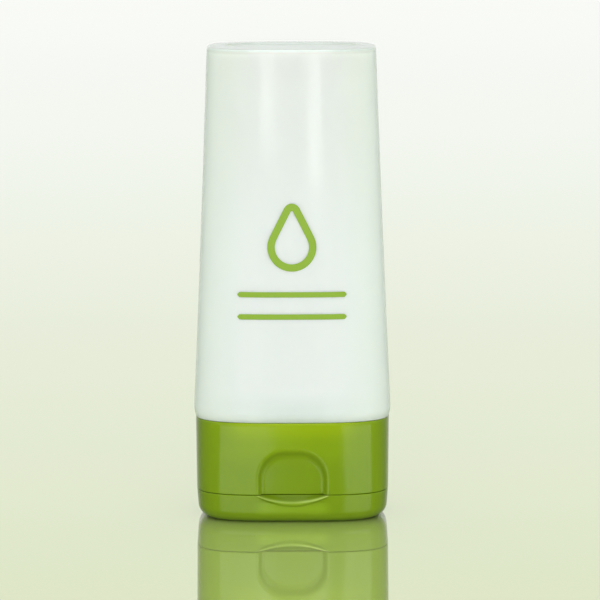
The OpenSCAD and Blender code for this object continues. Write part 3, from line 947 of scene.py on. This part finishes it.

# %% [markdown]
# The cap is dyed polypropylene from a polished mould. It is glossier than the bottle and only a
# little translucent, so its colour stays deep, with a faint orange-peel in the reflections. Painted
# light and shade lie over the dye: painted light under the rim, where light comes down through the
# milky bottle, painted light on the thin lid's rolled edge and below the lip, a painted highlight on
# the lip's crest, painted shade on the slope above it, which faces the recess, and painted shade at
# the outline where the plastic is seen edge-on. The values marked on the lid's points say where
# crest and slope lie.

# %% Green plastic
DYE_TINTS = (0.177, 0.290, 0.006), (0.203, 0.316, 0.008)
# Painted light and shade: lighter under the rim and on the thin lid's edges, darker on the lip's
# slope, a painted highlight on its crest, and darker at the outline.
DYE_PAINTED_LIGHT_AND_SHADE = {"painted_glow": (0.300, 0.430, 0.003), "thin": (0.275, 0.425, 0.020),
              "slope": (0.10, 0.165, 0.004), "crest": (0.40, 0.53, 0.11),
              "painted_edge_shade": (0.06, 0.10, 0.002)}
DYE_VALUES = {"Subsurface Weight": 0.25, "Subsurface Radius": (1.0, 1.0, 0.3),
              "Subsurface Scale": 1.0 * MM, "IOR": 1.49, "Specular IOR Level": 0.25}


def marked(tree, name):
    """The value that a piece's points carry under a name, or 0 where they carry none."""
    return made(tree, "Attribute", attribute_name=name).outputs["Fac"]


def green_plastic():
    """The dye from a cloudy noise, then each tint of painted light and shade where it lies."""
    material, tree, place = new_material("green_plastic")
    x, _, z = axes(tree, place)
    aside = computed(tree, "ABSOLUTE", x)
    # Where the lid's painted light lies: below the lip and on its rolled edge. along sets the strength
    # of the crest's painted highlight across the lip, most at its right end.
    lip = computed(tree, "MULTIPLY",
                   eased(tree, aside, [(0, 1.0), (7, 1.0), (11, 0.0), (12, 0.0)]),
                   eased(tree, z, [(0, 0.0), (1.5, 0.1), (4, 0.6), (5.2, 0.5), (5.9, 0.0),
                                   (SEAM_Z, 0.0)]))
    rolled = eased(tree, z, [(0, 0.65), (1.2, 0.25), (2.6, 0.0), (SEAM_Z, 0.0)])
    along = eased(tree, x, [(-10, 0.8), (-6, 0.45), (0, 0.35), (4, 0.7), (8, 1.0), (10, 1.0)])
    # Painted light under the rim and on the thin lid, painted shade on the slope, a painted highlight
    # on the crest, and painted shade at the outline.
    where = {
        "painted_glow": computed(tree, "MULTIPLY",
                         eased(tree, z, [(SEAM_Z + 6, 0.0), (SEAM_Z + 13, 0.35), (CAP_H, 1.0)]),
                         eased(tree, aside, [(0, 1.0), (12, 0.9), (19, 0.3), (24, 0.0)])),
        "thin": computed(tree, "MAXIMUM", lip, rolled),
        "slope": computed(tree, "MULTIPLY", marked(tree, "slope"), 0.6),
        "crest": computed(tree, "MULTIPLY", marked(tree, "crest"), along),
        "painted_edge_shade": painted_edge_shade(tree, 2.0)}
    cloud = noise(tree, place, 12.0, 2.0)
    color = layered(tree, blended(tree, cloud, *DYE_TINTS), DYE_PAINTED_LIGHT_AND_SHADE, where)
    joined(tree, tree.nodes["Principled BSDF"], {
        "Base Color": color, "Roughness": in_range(tree, noise(tree, place, 1.2), 0.14, 0.19),
        "Normal": orange_peel(tree, place, 0.004), **DYE_VALUES})
    print(material.name, len(tree.nodes), "nodes")
    return material


green = green_plastic()

# %% [markdown]
# Screen ink dries to a thin, even coat that is duller than the wall under it. A fine mottle in
# its colour and its roughness is all that can be seen of it.

# %% Green ink
INK_TINTS = (0.22, 0.38, 0.010), (0.26, 0.42, 0.015)


def green_ink():
    material, tree, place = new_material("green_ink")
    mottle = noise(tree, place, 0.5)
    joined(tree, tree.nodes["Principled BSDF"], {"Base Color": blended(tree, mottle, *INK_TINTS),
                                                 "Roughness": in_range(tree, mottle, 0.40, 0.50)})
    print(material.name, len(tree.nodes), "nodes")
    return material


ink_green = green_ink()

# %% [markdown]
# Each piece but the film moves with the solid that it stands for. The film stays where it stands
# closed, and is attached to neither body.

# %% Dress the pieces
for piece, material, node, slot in ((bottle, milky, "bottle", "bottle"),
                                    (base, green, "cap_base", "cap")):
    piece.data.materials.append(material)
    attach(piece, "tube")
    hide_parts(node)
lid.data.materials.append(green)
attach(lid, "lid")
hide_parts("cap_lid")
for lug in lugs:
    lug.data.materials.append(milky)
    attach(lug, "tube")
for mark in ink:
    mark.data.materials.append(ink_green)
    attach(mark, "tube")
film.data.materials.append(green)
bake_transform(film)
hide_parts("hinge_film")
print("pieces:", [piece.name for piece in (bottle, base, lid, film, *lugs, *ink)])

# %% [markdown]
# The tube stands on a polished pale plate, which mirrors it most strongly at a low angle, as any
# glossy sheet does. A Layer Weight node gives that share, and mixes a plain pale colour with a
# nearly perfect mirror by it.

# %% Floor
FLOOR_HALF = 6000
FLOOR_COLOR = (0.54, 0.60, 0.28)
MIRROR_MOST = 0.98            # share of the mirror at the flattest view


def make_floor():
    """A square plate with the colour and the mirror mixed by how flat it is seen."""
    corners = np.array([[-1, -1, 0], [1, -1, 0], [1, 1, 0], [-1, 1, 0]], float) * FLOOR_HALF
    floor = mesh_object("floor", corners, [(0, 1, 2, 3)])
    material, tree = new_material("polished_plate")[:2]
    tree.nodes.clear()
    pale = made(tree, "BsdfDiffuse", {"Color": (*FLOOR_COLOR, 1)})
    gloss = made(tree, "BsdfGlossy", {"Color": (1, 1, 1, 1), "Roughness": 0.03})
    facing = made(tree, "LayerWeight", {"Blend": 0.5}).outputs["Facing"]
    share = computed(tree, "MULTIPLY", facing, MIRROR_MOST)
    mix = made(tree, "MixShader", {"Fac": share, 1: pale.outputs[0], 2: gloss.outputs[0]})
    made(tree, "OutputMaterial", {"Surface": mix.outputs[0]})
    floor.data.materials.append(material)
    floor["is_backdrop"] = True


make_floor()

# %% [markdown]
# The background is the pale sky of a light tent: nearly white near the horizon and greener higher
# up, which the plate shows the other way round. A colour ramp over the height of a direction gives
# it. Rays that have only scattered find the tent a little stronger than what is seen of it, so
# that the pieces' colours render about as they are written. Rays that a piece and then the floor
# have mirrored find it dim behind the camera, because the photographer's side of a tent is dark.

# %% Sky of the light tent
SECOND_MIRROR = 2.5           # rays that a piece and then the floor have mirrored are deeper
SCATTERED = 1.32              # strength of the tent for rays that scatter
DIM_SIDE = 0.25               # strength of the side behind the camera for the second mirror
TENT = [(0.0, (0.99, 0.99, 0.99)), (0.083, (0.99, 0.995, 1.0)), (0.122, (0.93, 0.96, 0.935)),
        (0.166, (0.845, 0.88, 0.785)), (0.206, (0.80, 0.85, 0.705)), (0.23, (0.765, 0.815, 0.65)),
        (0.28, (0.76, 0.80, 0.66)), (0.45, (0.84, 0.86, 0.85)), (1.0, (0.78, 0.79, 0.79))]


def make_sky():
    """World colour by the sine of a direction's height: nearly white at the horizon, greenest
    at 13 to 16 degrees, neutral and a little darker overhead. The dim side follows the cube of
    y / 2 + 1 / 2, which is 0 straight behind the camera and 1 straight ahead of it."""
    world = bpy.data.worlds.new("tent")
    bpy.context.scene.world = world
    world.use_nodes = True
    tree = world.node_tree
    tree.nodes.clear()
    _, ahead, height = axes(tree, made(tree, "TexCoord").outputs["Generated"])
    side = computed(tree, "POWER", computed(tree, "MULTIPLY_ADD", ahead, 0.5, 0.5), 3.0)
    dim = made(tree, "MapRange", {"Value": side, "To Min": DIM_SIDE, "To Max": 1.0})
    ray = made(tree, "LightPath").outputs
    again = computed(tree, "GREATER_THAN", ray["Ray Depth"], SECOND_MIRROR)
    mirrored = made(tree, "Mix", {"Factor": again, "A": 1.0, "B": dim.outputs["Result"]})
    seen = computed(tree, "MAXIMUM", ray["Is Camera Ray"], ray["Is Glossy Ray"])
    strength = made(tree, "Mix", {"Factor": seen, "A": SCATTERED, "B": mirrored.outputs["Result"]})
    background = made(tree, "Background", {"Color": ramp(tree, height, TENT),
                                           "Strength": strength.outputs["Result"]})
    made(tree, "OutputWorld", {"Surface": background.outputs[0]})
    print("tent with", len(TENT), "stops of colour")


make_sky()

# %% [markdown]
# The gloss of a moulded face shows where the lamps stand, so all but the fill are there for the
# reflection they make. The two strips beside the camera make the light bands up the bottle. The two
# large softboxes make the paler panels left and right on the cap, and they show only by way of the
# floor, so that they don't stand in the floor when the tube is seen from behind. The boxes above
# the camera and overhead show in what faces up: the end, the slopes of the thumb recess and the lip
# under it. The fill is never mirrored and only brightens the front. Light linking keeps strips and
# boxes off the floor, because they would leave a bright spot there.

# %% Softboxes


def softbox(name, azimuth, distance, width, height, middle_z, radiance, tilt=0.0, shows="in pieces"):
    """A rectangle of light that faces the tube, at an azimuth in degrees to the right of the
    camera, tilted down by an angle. Its power is radiance * pi * area. It isn't seen itself.
    It shows in the pieces, or only in the floor's image that a piece mirrors, or nowhere."""
    data = bpy.data.lights.new(name, "AREA")
    data.shape = "RECTANGLE"
    data.size, data.size_y = width * MM, height * MM
    data.energy = radiance * math.pi * data.size * data.size_y
    lamp = bpy.data.objects.new(name, data)
    bpy.context.scene.collection.objects.link(lamp)
    turn = math.radians(azimuth)
    lamp.location = (distance * math.sin(turn) * MM, -distance * math.cos(turn) * MM, middle_z * MM)
    lamp.rotation_euler = (math.pi / 2 - math.radians(tilt), 0, turn)
    lamp.visible_camera = False
    lamp.visible_diffuse = shows == "nowhere"
    lamp.visible_glossy = shows != "nowhere"
    if shows == "in pieces":
        lamp.light_linking.receiver_collection = lit_pieces
    if shows == "by way of the floor":
        data.use_nodes = True
        tree = data.node_tree
        depth = made(tree, "LightPath").outputs["Ray Depth"]
        emission = next(n for n in tree.nodes if n.type == "EMISSION")
        joined(tree, emission, {"Strength": computed(tree, "GREATER_THAN", depth, SECOND_MIRROR)})
    print(name, "at", azimuth, "degrees,", round(data.energy, 3), "W")


lit_pieces = bpy.data.collections.new("pieces")
for piece in (bottle, base, lid, film, *lugs, *ink):
    lit_pieces.objects.link(piece)
# Name, azimuth, distance, width, height, height of its middle, radiance
softbox("softbox_left", -26, 1150, 1010, 800, 510, 3.3, shows="by way of the floor")
softbox("softbox_right", 42, 1150, 1000, 800, 510, 3.4, shows="by way of the floor")
softbox("box_over_camera", 0, 600, 260, 240, 430, 1.6, tilt=35)
softbox("box_overhead", -90, 330, 420, 500, 700, 3.5, tilt=66)
softbox("strip_left", -5.9, 313, 34, 57, 112, 5.0)
softbox("strip_right", 5.3, 313, 30, 67, 106, 5.8)
softbox("fill", 5, 1150, 1200, 700, 430, 1.8, tilt=18, shows="nowhere")

bpy.context.scene.view_settings.view_transform = "Standard"

# %% Sizes and finish
shown_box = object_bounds()
for label, box in (("CAD", cad_box), ("shown", shown_box)):
    print(label, [round(v / MM, 2) for corner in box for v in corner])
